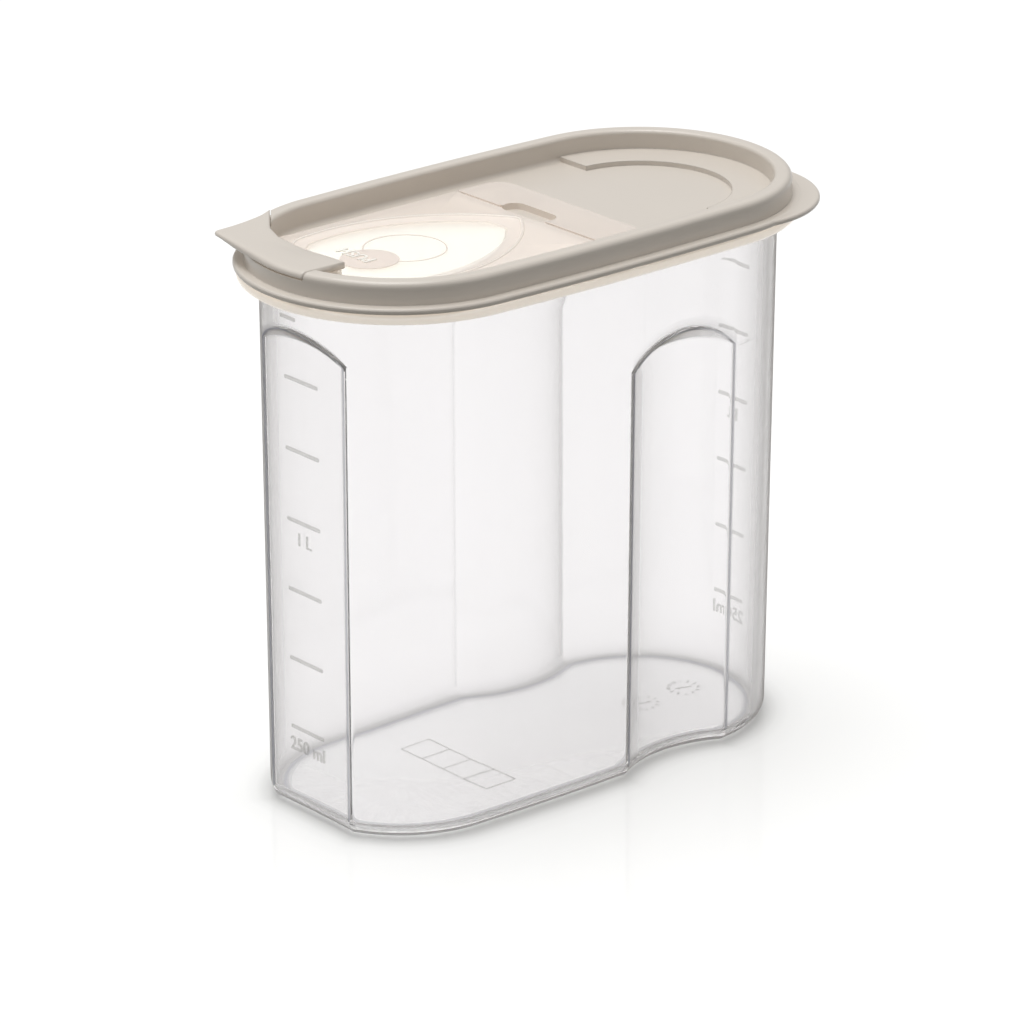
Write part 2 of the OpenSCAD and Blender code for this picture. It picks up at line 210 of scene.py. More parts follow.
def clearPlastic(name, shadowShare):
    # clarified polypropylene, injection moulded and polished: clear, with slow flow waves and a milky haze
    # that grows as the cube of the facing weight where the wall is seen edge-on, and along its folds, where painted
    # lavender-grey lines stand for refraction lines and for contact shade at the foot
    material, tree = newMaterial(name)
    coords = addNode(tree, "TexCoord")
    waves = addNode(tree, "TexNoise", Vector=coords.outputs["Object"], Scale=34.0, Detail=2.0)
    bump = addNode(tree, "Bump", Strength=0.2, Distance=0.0003, Height=waves)
    body = addNode(tree, "BsdfPrincipled", Base_Color="#FDFCFD", Transmission_Weight=1.0,
                   Roughness=0.03, IOR=1.49, Normal=bump)
    edge = addNode(tree, "LayerWeight", Blend=0.5)
    cube = addNode(tree, "Math", {"operation": "POWER"}, i0=edge.outputs["Facing"], i1=3.0)
    wide = addNode(tree, "Math", {"operation": "MULTIPLY_ADD"},
                   i0=cube, i1=haze["edgeOn"], i2=haze["everywhere"])
    paintedLine = addNode(tree, "Attribute", {"attribute_name": "paintedLine"})
    side = addNode(tree, "NewGeometry")
    outward = addNode(tree, "Math", {"operation": "MULTIPLY_ADD"},
                      i0=side.outputs["Backfacing"], i1=-haze["lostOnBacks"], i2=1.0)
    line = addNode(tree, "Math", {"operation": "MULTIPLY"}, i0=paintedLine.outputs["Fac"], i1=outward)
    amount = addNode(tree, "Math", {"operation": "MULTIPLY_ADD", "use_clamp": True},
                     i0=line, i1=haze["alongPaintedLines"], i2=wide)
    # painted line colour: along the folds the haze turns lavender-grey, standing for refraction lines and the
    # foot's contact shade
    colour = addNode(tree, "Mix", {"data_type": "RGBA"}, Factor=line, i6="#EAE8E7", i7="#BFC2D0")
    back = addNode(tree, "BsdfTranslucent", Color=colour.outputs[2])
    front = addNode(tree, "BsdfDiffuse", Color=colour.outputs[2])
    cloud = addNode(tree, "MixShader", Fac=0.5, i1=back, i2=front)
    milky = addNode(tree, "MixShader", Fac=amount, i1=body, i2=cloud)
    out = seeThrough(tree, milky, 0.0, "#F6F7F7", shadowShare)
    addNode(tree, "OutputMaterial", Surface=out)
    return material


def collarPlastic():
    # the same clear plastic, its upper part painted with the beige of the flange above as seen through its thick
    # rounded edge
    material, tree = newMaterial("clarifiedPolypropyleneCollar")
    coords = addNode(tree, "TexCoord")
    flow = addNode(tree, "TexNoise", Vector=coords.outputs["Object"], Scale=30.0, Detail=2.0)
    height = addNode(tree, "SeparateXYZ", Vector=coords.outputs["Object"])
    rise = addNode(tree, "MapRange", {"interpolation_type": "SMOOTHSTEP"},
                   Value=height.outputs["Z"], From_Min=0.1627, From_Max=0.1640)
    colour = addNode(tree, "Mix", {"data_type": "RGBA"}, Factor=rise, i6="#E8E7E4", i7="#E2DBD2")
    bump = addNode(tree, "Bump", Strength=0.1, Distance=0.0002, Height=flow)
    # the emission is painted light, standing for light gathered by the clear edge
    body = addNode(tree, "BsdfPrincipled", Base_Color=colour.outputs[2], Emission_Color="#E5DED5",
                   Emission_Strength=0.5, Roughness=0.2, IOR=1.49, Normal=bump)
    out = seeThrough(tree, body, 0.2, "#F6F2EC", 0.8)
    addNode(tree, "OutputMaterial", Surface=out)
    return material


def markPlastic():
    # raised marks on the clear wall: their edges scatter, so they read a little greyer than the wall
    material, tree = newMaterial("clarifiedPolypropyleneMarks")
    coords = addNode(tree, "TexCoord")
    flow = addNode(tree, "TexNoise", Vector=coords.outputs["Object"], Scale=400.0, Detail=1.0)
    bump = addNode(tree, "Bump", Strength=0.2, Distance=0.0001, Height=flow)
    body = addNode(tree, "BsdfPrincipled", Base_Color="#DCDCDA", Roughness=0.3, IOR=1.49, Normal=bump)
    addNode(tree, "OutputMaterial", Surface=seeThrough(tree, body, 0.84, "#F6F6F5", 0.9))
    return material


def solidPlastic(name, first, second, share, m):
    # pigmented or natural polypropylene: two close tones where the melt flowed, and the tool's fine grain
    material, tree = newMaterial(name)
    coords = addNode(tree, "TexCoord")
    flow = addNode(tree, "TexNoise", Vector=coords.outputs["Object"], Scale=m["flow"], Detail=3.0)
    colour = addNode(tree, "Mix", {"data_type": "RGBA"}, Factor=flow, i6=first, i7=second)
    grain = addNode(tree, "TexNoise", Vector=coords.outputs["Object"], Scale=m["grain"], Detail=2.0)
    edges = {"Normal": addNode(tree, "Bevel", {"samples": 6}, Radius=m["soft"])} if "soft" in m else {}
    bump = addNode(tree, "Bump", Strength=m["relief"], Distance=0.00005, Height=grain, **edges)
    body = addNode(tree, "BsdfPrincipled", Base_Color=colour.outputs[2],
                   Roughness=m["roughness"], IOR=m["ior"], Normal=bump)
    out = seeThrough(tree, body, share, m["tint"], m["shadowShare"])
    addNode(tree, "OutputMaterial", Surface=out)
    return material


# injection moulded in a fine-sparked tool: satin skin, edges softly rounded by 0.6 mm
lidSkin = {"flow": 22.0, "grain": 2600.0, "relief": 0.1, "soft": 0.0006, "roughness": 0.28, "ior": 1.49,
           "tint": "#F7F0E6", "shadowShare": 0.5}
# the living-hinge moulding: pale, thin and milky, so what lies under it shows through
flapSkin = {"flow": 30.0, "grain": 2200.0, "relief": 0.06, "roughness": 0.27, "ior": 1.5,
            "tint": "#FFFEFC", "shadowShare": 0.9}


clearBody = clearPlastic("clarifiedPolypropylene", 0.93)
clearFoot = clearPlastic("clarifiedPolypropyleneFoot", 0.3)  # the thick rounded foot turns more light aside
clearCollar = collarPlastic()
clearMarks = markPlastic()
lidBeige = solidPlastic("beigePolypropylene", "#DAD2C8", "#D6CEC4", 0.0, lidSkin)
flapPale, leafLitPale, windowPale, wallLitPale, stripPale, discPale, rimHighlightPale, letterPale = (
    solidPlastic("naturalPolypropylene" + part, first, second, share, flapSkin) for part, first, second, share in (
        ("", "#F8F0E9", "#F5EDE6", 0.32),
        # the thin leaf: more see-through, and painted paler for the light coming up through it from the opening
        ("Thin", "#FFFEF9", "#FDFBF6", 0.55),
        # painted light: the bright sheet under the leaf, almost opaque
        ("Lit", "#FFFEFA", "#FEFDF7", 0.04),
        # painted light: the wall under the lip is paler than the panel, standing for light through its milky
        # plastic where the lip shades it
        ("Wall", "#FFF8F0", "#FCF5ED", 0.45),
        ("Strip", "#F2E9E1", "#EFE6DE", 0.25),
        ("Rough", "#F0E5DE", "#ECE1DA", 0.25),
        # painted highlight: paler tone for the two shoulder rows of the rim's crest
        ("Rim", "#FFFBF4", "#FDF8F1", 0.12),
        ("Letters", "#FFFDF7", "#FEFBF4", 0.05),
    ))

for nodeName, material in (("lid", lidBeige), ("hinge_strip", stripPale), ("hinge_film", stripPale)):
    mesh = frame["nodes"][nodeName].data
    mesh.materials.clear()
    mesh.materials.append(material)
print("materials on the lid and hinge")


tub = {
    "endR": 39.45, "endX": 47.4, "swell": 1.0,                # four-arc oval at the base
    "colZ": 162.6, "draft": 1.2, "wall": 1.8, "floor": 2.6, "fillet": 5.0,
    "collarReach": 6.6, "collarT": 3.0, "collarRoot": 0.8, "collarUnder": 1.4, "rimSoft": 0.6,
    "gripX": 28.2, "gripHalf": 20.4, "gripDepth": 5.5, "gripTop": 138.7, "gripArchR": 28.0, "gripWiden": 2.0,
    "flatDepth": 4.55, "flatTop": 153.8, "flatArchR": 26.0, "flatHalf": 18.6, "flatInset": 0.2,
    "cornerR": 4.0, "roofSlope": 0.839, "wallRise": 0.466,    # tangents of the roofs' 40 degrees and of 25 degrees
    "edgeSoft": 0.9, "flatSoftShare": 0.7, "roofSoft": 0.5, "bendSoft": 1.8,
    "sideY": 30.0, "gripZone": 30.0, "flatX": -70.0,          # where a column counts as on a side, a grip, the flat
    "blendX": -60.0, "blendRun": 50.0,                        # from the flat's arch to the grips' arch
    "column": 2.4, "gripColumn": 1.1, "flatColumn": 1.0, "edgeColumn": 0.3, "edgeZone": 3.0,
    "gripRise": 0.25, "flatRise": 0.22, "gripBeyond": 4.0, "flatReach": 24.0, "flatEdgeY": 18.2,
    "rowsBelow": 13, "rowsThrough": 16, "rowsAbove": 6, "roofFoot": (2.5, 0.3), "roofHead": 0.5,
    "discShares": (1, 0.985, 0.9, 0.75, 0.6, 0.45, 0.3, 0.16, 0.06),
    # painted lines along the folds for the refraction lines there, and painted contact shade along the foot
    "lineY": 17.9, "lineWidth": 0.5, "lineHeight": 0.1, "footContactShade": 0.9, "floorPaintedLine": 0.8,
    "footGlint": 0.35, "glintLow": 0.8, "glintHigh": 1.6,
}


def ovalOutline(t, spacing):
    # four-arc oval: round ends about (+-endX, 0), long sides of very large radius; spacing gives the columns' steps
    sideC = (t["endX"] ** 2 - t["swell"] ** 2) / (2 * t["swell"])
    sideR = sideC + t["endR"] + t["swell"]
    joinA = math.atan2(sideC, t["endX"])
    endLen, sideLen = 2 * joinA * t["endR"], (math.pi - 2 * joinA) * sideR
    total = 2 * (endLen + sideLen)

    def at(s):
        s = np.mod(s, total)
        half = (s >= total / 2)
        q = np.where(half, s - total / 2, s)
        onEnd = q < endLen
        angle = np.where(onEnd, -joinA + q / t["endR"], joinA + (q - endLen) / sideR)
        nx, ny = np.cos(angle), np.sin(angle)
        px = np.where(onEnd, t["endX"] + t["endR"] * nx, sideR * nx)
        py = np.where(onEnd, t["endR"] * ny, -sideC + sideR * ny)
        sign = np.where(half, -1.0, 1.0)
        return np.stack([px * sign, py * sign], axis=-1), np.stack([nx * sign, ny * sign], axis=-1)

    # from the rear tip, so that the columns mirror across the middle
    fine = np.linspace(0, total, 40001) + endLen / 2
    place, _ = at(fine)
    density = 1 / spacing(place)
    run = np.concatenate([[0], np.cumsum((density[1:] + density[:-1]) / 2 * np.diff(fine))])
    count = int(round(run[-1] / 4)) * 4
    s = np.interp(np.arange(count) * run[-1] / count, run, fine)
    return at(s)


def archHeight(x, half, top, r, corner):
    # height of the arch over the place x: crown of radius r, rounded shoulders, level beyond them
    crownZ = top - r
    sx = half - corner
    sz = crownZ + math.sqrt((r - corner) ** 2 - sx ** 2)
    ax = np.minimum(np.abs(x), half)
    split = sx * r / (r - corner)
    crown = crownZ + np.sqrt(np.maximum(r * r - np.minimum(ax, split) ** 2, 0))
    shoulder = sz + np.sqrt(np.maximum(corner ** 2 - np.clip(ax - sx, -corner, corner) ** 2, 0))
    return np.where(ax <= split, crown, shoulder)


def softPositive(f, soft):
    # zero below, f above, with a rounded bend between
    return 0.5 * (f + np.sqrt(f * f + soft * soft)) - 0.5 * soft * np.exp(-np.abs(f) / soft)


def hollowDepth(t, base, grow):
    # how far each column is moved in by the grips (a cylinder) and by the flat (a plane), and its arch's height
    gripR = (t["gripHalf"] ** 2 + t["gripDepth"] ** 2) / (2 * t["gripDepth"])
    dx = base[:, 0] - t["gripX"]
    r = gripR + grow
    cut = np.sqrt(np.maximum(r * r - dx * dx, 0)) - (gripR - t["gripDepth"]) - grow
    grip = np.where(np.abs(dx) < t["gripZone"], softPositive(cut, t["edgeSoft"]), 0)
    reach = t["gripHalf"] + grow
    wide = t["gripHalf"] + t["gripWiden"] + grow
    gripArch = archHeight(np.clip(dx, -reach, reach), wide, t["gripTop"], t["gripArchR"], t["cornerR"])
    phi = np.arctan2(base[:, 1], -(base[:, 0] + t["endX"]))
    outer = t["endR"] - grow
    plane = outer - (t["endR"] - t["flatDepth"] - grow) / np.maximum(np.cos(phi), 0.5)
    onFlat = (base[:, 0] < -t["endX"]) & (np.abs(phi) < 1.0)
    flat = np.where(onFlat, softPositive(plane, t["edgeSoft"] * t["flatSoftShare"]), 0)
    reach = t["flatHalf"] - t["flatInset"] + grow
    across = np.clip(base[:, 1], -reach, reach)
    flatArch = archHeight(across, t["flatHalf"] + grow, t["flatTop"], t["flatArchR"], t["cornerR"])
    blend = smoothStep((base[:, 0] - t["blendX"]) / t["blendRun"])
    return grip + flat, flatArch * (1 - blend) + gripArch * blend + t["wallRise"] * grow


def tubSpacing(place):
    # columns closer over the hollows and closest at their upright edges
    t, x, y = tub, place[:, 0], place[:, 1]
    step = np.full(len(x), t["column"])
    onSide = np.abs(y) > t["sideY"]
    gap = np.minimum(np.abs(x - t["gripX"] - t["gripHalf"]), np.abs(x - t["gripX"] + t["gripHalf"]))
    nearGrip = np.abs(x - t["gripX"]) < t["gripHalf"] + t["gripBeyond"]
    step = np.where(onSide & nearGrip, t["gripColumn"], step)
    step = np.where(onSide & (gap < t["edgeZone"]), t["edgeColumn"] + gap * t["gripRise"], step)
    onFlat = x < t["flatX"]
    gap = np.abs(np.abs(y) - t["flatEdgeY"])
    step = np.where(onFlat & (np.abs(y) < t["flatReach"]), t["flatColumn"], step)
    return np.where(onFlat & (gap < t["edgeZone"]), t["edgeColumn"] + gap * t["flatRise"], step)


def bendRadius(t, depth):
    # rounding between roof and hollow, less where the hollow is shallow
    return np.minimum(t["bendSoft"], 0.8 * depth) + 1e-4


def wallRows(t, low, arch, depth, high):
    # heights of the upright rows in each column: even below the roof, a close group through it, even above
    bends, more = t["roofFoot"]
    foot = arch - t["roofSlope"] * depth - bends * bendRadius(t, depth) - more
    head = arch + t["roofHead"]
    counts = (t["rowsBelow"], t["rowsThrough"], t["rowsAbove"])
    below, through, above = (np.linspace(0, 1, n + 1)[:, None] for n in counts)
    return np.concatenate([
        low + (foot - low) * below[:-1],
        foot + (head - foot) * through[:-1],
        head + (high - head) * above,
    ])


def hollowAt(t, depth, arch, z):
    # the hollow's depth at height z: full below a roof that falls inwards from the arch, with a rounded bend
    roof = softPositive((arch - z) / t["roofSlope"], t["roofSoft"])
    bend = bendRadius(t, depth)
    return depth * (1 - softPositive(depth - roof, bend) / np.maximum(softPositive(depth, bend), 1e-6))


def paintedFoldLine(t, base, arch, z):
    # painted line for the refraction line along the edge of a grip or of the flat: 1 on the edge, falling off as
    # exp(-(distance / lineWidth)^2)
    fromGrip = np.abs(base[:, 0] - t["gripX"])
    onGrip = (np.abs(base[:, 1]) > t["sideY"]) & (fromGrip < t["gripZone"])
    far = -9.0
    onFlat = np.where(base[:, 0] < t["flatX"], t["lineY"] - np.abs(base[:, 1]), far)
    distance = np.minimum(np.where(onGrip, t["gripHalf"] - fromGrip, onFlat), arch - z)
    return np.exp(-(distance / t["lineWidth"]) ** 2)


def makeTub(t, materials):
    # closed shell: each column is one profile set out from the oval along its normal, over the underside,
    # the rounded foot, the outer wall, the collar, the inner wall and the floor
    base, normal = ovalOutline(t, tubSpacing)
    cols = len(base)
    middle = np.stack([np.clip(base[:, 0], -t["endX"], t["endX"]), np.zeros(cols)], axis=-1)
    rows, paintedLines = [], []

    def lean(z):
        return t["draft"] * z / t["colZ"]

    def addRow(offset, z, paintedLine=0.0):
        rows.append(atHeight(base + normal * np.broadcast_to(offset, (cols,))[:, None], z))
        paintedLines.append(np.broadcast_to(paintedLine, (cols,)))

    def addDisc(edgeOffset, z, order):
        edge = base + normal * edgeOffset[:, None]
        for share in order:
            rows.append(atHeight(edge * (1 - share) + middle * share, z))
            paintedLines.append(np.zeros(cols))

    depth, arch = hollowDepth(t, base, 0)
    depthIn, archIn = hollowDepth(t, base, t["wall"])
    r, root, soft, half = t["fillet"], t["collarRoot"], t["rimSoft"], t["collarT"] / 2
    addDisc(-r - depth, 0.0, t["discShares"])
    footStart = len(rows) - 1
    # painted contact shade on the foot's lowest row, and a fainter painted line (the glint) a little higher
    for dx, dz in arc(-r, r, r, -90, 0, 11)[:-1]:
        glint = t["footGlint"] * (t["glintLow"] < dz < t["glintHigh"])
        addRow(dx + lean(r) * dz / r - depth, dz, t["footContactShade"] if dz < t["lineHeight"] else glint)
    footEnd = len(rows) - 1
    for z in wallRows(t, r, arch, depth, t["colZ"] - root):
        addRow(lean(z) - hollowAt(t, depth, arch, z), z, paintedFoldLine(t, base, arch, z))
    top, edgeX, rim = t["draft"], t["collarReach"] - half, t["colZ"] + t["collarT"]
    collarStart = len(rows)
    for dx, dz in arc(root, t["colZ"] - root, root, 180, 90, 5)[1:]:
        addRow(top + dx, dz)
    for dx in np.linspace(t["collarUnder"], edgeX, 5)[:-1]:
        addRow(top + dx, t["colZ"])
    for dx, dz in arc(edgeX, t["colZ"] + half, half, -90, 90, 13):
        addRow(top + dx, dz)
    for dx in np.linspace(edgeX, -t["wall"] + soft, 7)[1:-1]:
        addRow(top + dx, rim)
    collarEnd = len(rows)
    for dx, dz in arc(-t["wall"] + soft, rim - soft, soft, 90, 180, 6):
        addRow(top + dx, dz)
    ri = r - t["wall"]
    low = t["floor"] + ri
    for z in wallRows(t, low, archIn, depthIn, rim - soft)[::-1][1:]:
        addRow(lean(z) - t["wall"] - hollowAt(t, depthIn, archIn, z), z)
    # painted line where the inner floor meets its rounding
    for dx, dz in arc(-ri, low, ri, 0, -90, 9)[1:]:
        level = dz < t["floor"] + t["lineHeight"] / 5
        addRow(dx + lean(low) - t["wall"] - depthIn, dz, t["floorPaintedLine"] * level)
    addDisc(-ri + lean(low) - t["wall"] - depthIn, t["floor"], t["discShares"][::-1])

    obj = meshObject("clearTub", np.stack(rows).reshape(-1, 3), gridFaces(len(rows), cols), materials[0])
    rowOf = np.arange(len(obj.data.polygons)) // cols
    onCollar, onFoot = (rowOf >= collarStart) & (rowOf < collarEnd), (rowOf >= footStart) & (rowOf < footEnd)
    paintFaces(obj, materials[1:], np.where(onCollar, 1, np.where(onFoot, 2, 0)))
    pointValues(obj, "paintedLine", np.concatenate(paintedLines))
    mergeClose(obj)
    return obj


clearTub = makeTub(tub, (clearBody, clearCollar, clearFoot))
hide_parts("container_body", "rim_collar")
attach(clearTub, "container")
print("clear tub:", len(clearTub.data.polygons), "faces")


marks = {
    "firstZ": 27.2, "step": 22.0, "count": 6, "barLength": 15.2, "barHeight": 1.2, "barCorner": 0.35,
    "relief": 0.3, "sink": 0.1, "smallZ": 158.0, "smallLength": 7.0,
    "numbers": (("250 ml", 0, 5.9), ("1 L", 3, 5.6)), "drop": 5.6, "shift": -0.9,
    "frameCorner": (-33.2, 17.6), "frameSize": (11.2, 39.4), "frameLine": 0.5, "frameStep": 0.5, "fields": 4,
    "dials": ((63.4, -2.3, 160), (45.0, -2.5, -20)), "dialR": 5.0, "numberSize": 2.0, "numberHeight": 0.3,
    "floorRelief": 0.2,
    "arrow": ((-3.0, -0.22), (1.6, -0.22), (1.4, -0.8), (3.0, 0), (1.4, 0.8), (1.6, 0.22), (-3.0, 0.22)),
}


def reliefPatch(outline, height, sink, shoulder=0.25):
    # low raised patch, closed to its middle: underside sunk in the wall, side, rounded shoulder, top
    middle = np.broadcast_to((outline.min(axis=0) + outline.max(axis=0)) / 2, outline.shape)
    normal = sideways(np.roll(outline, -1, axis=0) - np.roll(outline, 1, axis=0))
    inset = min(shoulder, height)
    rows = [atHeight(middle, -sink)]
    for d, h in ((0.0, -sink), (0.0, height * 0.6), (inset * 0.4, height * 0.92), (inset, height)):
        rows.append(atHeight(outline - normal * d, h))
    rows.append(atHeight(middle, height))
    return np.concatenate(rows), gridFaces(len(rows), len(outline))


def barOutline(length, height):
    corner = marks["barCorner"]
    x, y = length / 2 - corner, height / 2 - corner
    turns = ((1, -1, -90), (1, 1, 0), (-1, 1, 90), (-1, -1, 180))
    return np.concatenate([arc(sx * x, sy * y, corner, a, a + 90, 4) for sx, sy, a in turns])


def onSpoutFlat(p):
    # across, up and out on the flat that leans with the draft
    z = p[:, 1]
    out = tub["endX"] + tub["endR"] - tub["flatDepth"] + tub["draft"] * z / tub["colZ"] + p[:, 2]
    return np.column_stack([-out, -p[:, 0], z])


def onRearEnd(p):
    # the same on the round end that leans with the draft
    z = p[:, 1]
    r = tub["endR"] + tub["draft"] * z / tub["colZ"] + p[:, 2]
    return np.column_stack([tub["endX"] + np.sqrt(r * r - p[:, 0] ** 2), p[:, 0], z])


def onSpoutRound(p):
    return onRearEnd(p) * [-1, -1, 1]


def onFloor(p):
    return np.column_stack([p[:, 0], p[:, 1], tub["floor"] + p[:, 2]])


def textMesh(words, size, height):
    # raised lettering as a flat mesh: points (right, up, out) and faces
    curve = bpy.data.curves.new("lettering", "FONT")
    curve.body, curve.size, curve.extrude = words, size, height / 2
    curve.align_x, curve.align_y = "CENTER", "CENTER"
    curve.resolution_u = 3
    curve.offset = size * 0.012
    holder = bpy.data.objects.new("lettering", curve)
    bpy.context.scene.collection.objects.link(holder)
    bpy.context.view_layer.update()
    mesh = bpy.data.meshes.new_from_object(holder.evaluated_get(bpy.context.evaluated_depsgraph_get()))
    points = np.empty(len(mesh.vertices) * 3)
    mesh.vertices.foreach_get("co", points)
    faces = [list(p.vertices) for p in mesh.polygons]
    bpy.data.objects.remove(holder)
    bpy.data.curves.remove(curve)
    bpy.data.meshes.remove(mesh)
    return points.reshape(-1, 3) + [0, 0, height / 2], faces


def joined(name, pieces, material, smooth=True):
    points, faces, start = [], [], 0
    for p, f in pieces:
        points.append(p)
        faces += [[int(i) + start for i in face] for face in f]
        start += len(p)
    obj = meshObject(name, np.concatenate(points), faces, material, smooth)
    mergeClose(obj, 5e-7, outwards=True)
    return obj


def makeScale(name, place, topPlace, m, middle):
    # bars each quarter litre, numerals under two of them, and a short bar above the hollow
    pieces = []
    bar = barOutline(m["barLength"], m["barHeight"])
    for k in range(m["count"]):
        points, faces = reliefPatch(bar + [middle, m["firstZ"] + k * m["step"]], m["relief"], m["sink"])
        pieces.append((place(points), faces))
    bar = barOutline(m["smallLength"], m["barHeight"])
    points, faces = reliefPatch(bar + [middle, m["smallZ"]], m["relief"], m["sink"])
    pieces.append((topPlace(points), faces))
    for words, k, size in m["numbers"]:
        points, faces = textMesh(words, size, m["relief"] + m["sink"])
        points += [middle, m["firstZ"] + k * m["step"] - m["drop"], -m["sink"]]
        pieces.append((place(points), faces))
    return joined(name, pieces, clearMarks, smooth=False)


def framePieces(m):
    # bare frame of four fields
    (x0, y0), (w, h), line, fields = m["frameCorner"], m["frameSize"], m["frameLine"], m["fields"]
    bars = [(x0, y0 - h / 2, line, h), (x0 + w, y0 - h / 2, line, h)]
    bars += [(x0 + w / 2, y0 - h * k / fields, w, line) for k in range(fields + 1)]
    pieces = []
    for cx, cy, sx, sy in bars:
        corners = np.array([[-1, -1], [1, -1], [1, 1], [-1, 1]]) * [sx / 2, sy / 2] + [cx, cy]
        points, faces = reliefPatch(resample(corners, m["frameStep"], True), m["floorRelief"], m["sink"])
        pieces.append((onFloor(points), faces))
    return pieces


def dialPieces(m, x, y, heading):
    # date dial: twelve numbers in a circle, and an arrow in the middle
    pieces = []
    for k in range(12):
        a = math.radians(90 - 30 * (k + 1))
        points, faces = textMesh(str(k + 1), m["numberSize"], m["numberHeight"])
        turn = np.array([[math.sin(a), -math.cos(a)], [math.cos(a), math.sin(a)]]).T
        flat = points[:, :2] @ turn.T + [x + m["dialR"] * math.cos(a), y + m["dialR"] * math.sin(a)]
        pieces.append((onFloor(np.column_stack([flat, points[:, 2] - m["sink"]])), faces))
    a = math.radians(heading)
    along, side = np.array([math.cos(a), math.sin(a)]), np.array([-math.sin(a), math.cos(a)])
    shape = np.array(m["arrow"])
    outline = np.array([x, y]) + shape[:, :1] * along + shape[:, 1:] * side
    n = len(outline)
    points = np.concatenate([atHeight(outline, z) for z in (-m["sink"], m["floorRelief"])])
    sides = [[k, (k + 1) % n, n + (k + 1) % n, n + k] for k in range(n)]
    under = [list(range(n))[::-1]]
    shaft, head = [n, n + 1, n + 2, n + 4, n + 5, n + 6], [n + 2, n + 3, n + 4]
    pieces.append((onFloor(points), sides + under + [shaft, head]))
    return pieces


spoutScale = makeScale("spoutScale", onSpoutFlat, onSpoutRound, marks, marks["shift"])
rearScale = makeScale("rearScale", onRearEnd, onRearEnd, marks, 0.0)
onBase = framePieces(marks) + [piece for dial in marks["dials"] for piece in dialPieces(marks, *dial)]
floorMarks = joined("floorMarks", onBase, clearMarks, smooth=False)
for piece in (spoutScale, rearScale, floorMarks):
    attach(piece, "container")
print("scale and floor marks added")


flap = {
    "centre": (-45.0, 0.0), "hingeX": 2.0, "halfW": 32.5, "frontR": 37.45, "endX": 47.4, "cornerX": -66.0,
    "low": 167.8, "high": 169.5, "edge": 0.35,
    "leafTipX": 7.0, "leafWideX": 51.0, "leafHalf": 23.0, "leafFrontR": 26.5, "tipR": 25.0,
    "rimBorder": 5.0, "rimHeight": 0.6, "rimTipX": 6.6, "rimHiddenX": -75.4, "rimHiddenRun": 0.6, "lipNearY": -10.0,
    "thinInset": 0.3, "thinBorder": 0.3, "thinDepth": 0.6, "stepTipX": 10.0,
    "plugH": 4.6, "plugT": 1.2, "plugGap": 0.4, "plugRoot": 0.4, "plugNeck": 0.3,
    "slotX": 5.1, "slotY": 3.0, "slotR": 3.8, "slotEnd": 6.45,
    # shares of the way out from the middle; then (millimetres out, share of the height) over each step
    "leafRows": (0.02, 0.12, 0.25, 0.4, 0.55, 0.7, 0.82, 0.93, 1.0),
    "thinStep": ((-0.12, 0.94), (0.0, 0.75), (0.14, 0.3), (0.28, 0.06), (0.45, 0.0)),
    "rimStep": ((-0.75, 0), (-0.6, 0.1), (-0.42, 0.65), (-0.25, 0.95), (0, 1),
                (0.25, 0.95), (0.42, 0.65), (0.6, 0.1), (0.75, 0)),
}


def circleExit(u, q, r):
    # distance along each direction u at which a circle with centre q is left
    along = u @ np.asarray(q, float)
    return along + np.sqrt(np.maximum(along ** 2 - np.dot(q, q) + r * r, 0))


def leafReach(f, u, grow, tipX=None):
    # distance from the flap's centre to the leaf's outline made larger by grow: two side circles, a front circle,
    # and a blunt tip where one is asked for
    cx = f["centre"][0]
    run = f["leafWideX"] - f["leafTipX"]
    sideR = (run ** 2 + f["leafHalf"] ** 2) / (2 * f["leafHalf"])
    sides = [circleExit(u, (-f["leafWideX"] - cx, s * (sideR - f["leafHalf"])), sideR + grow) for s in (-1, 1)]
    front = circleExit(u, (-f["endX"] - cx, 0), f["leafFrontR"] + grow)
    plane = np.where(u[:, 0] < 0, (cx + f["leafWideX"]) / np.maximum(-u[:, 0], 1e-6), 1e6)
    reach = np.minimum(np.minimum(*sides), np.maximum(front, plane))
    if tipX is not None:
        tipC = -(tipX + f["tipR"])
        blunt = circleExit(u, (tipC - cx, 0), f["tipR"] + grow)
        blunt = np.maximum(blunt, (tipC - cx) / np.maximum(u[:, 0], 1e-6))
        reach = np.where(u[:, 0] > 0.01, np.minimum(reach, blunt), reach)
    return reach


def panelReach(f, u):
    # distance to the panel's outline: straight sides, the arc at the spout, the hinge edge with the end of the slot
    cx = f["centre"][0]
    side = f["halfW"] / np.maximum(np.abs(u[:, 1]), 1e-6)
    front = np.where(u[:, 0] < 0, circleExit(u, (-f["endX"] - cx, 0), f["frontR"]), 1e6)
    y = u[:, 1] / np.maximum(u[:, 0], 1e-6) * (f["hingeX"] - cx)
    bow = np.sqrt(np.maximum(f["slotR"] ** 2 - np.maximum(np.abs(y - f["slotY"]) - f["slotEnd"], 0) ** 2, 0))
    onSlot = np.abs(y - f["slotY"]) < f["slotEnd"] + f["slotR"]
    edgeX = np.minimum(f["hingeX"], np.where(onSlot, f["slotX"] - bow, 1e6))
    hinge = np.where(u[:, 0] > 0.01, (edgeX - cx) / np.maximum(u[:, 0], 1e-6), 1e6)
    return np.minimum(np.minimum(side, front), hinge)


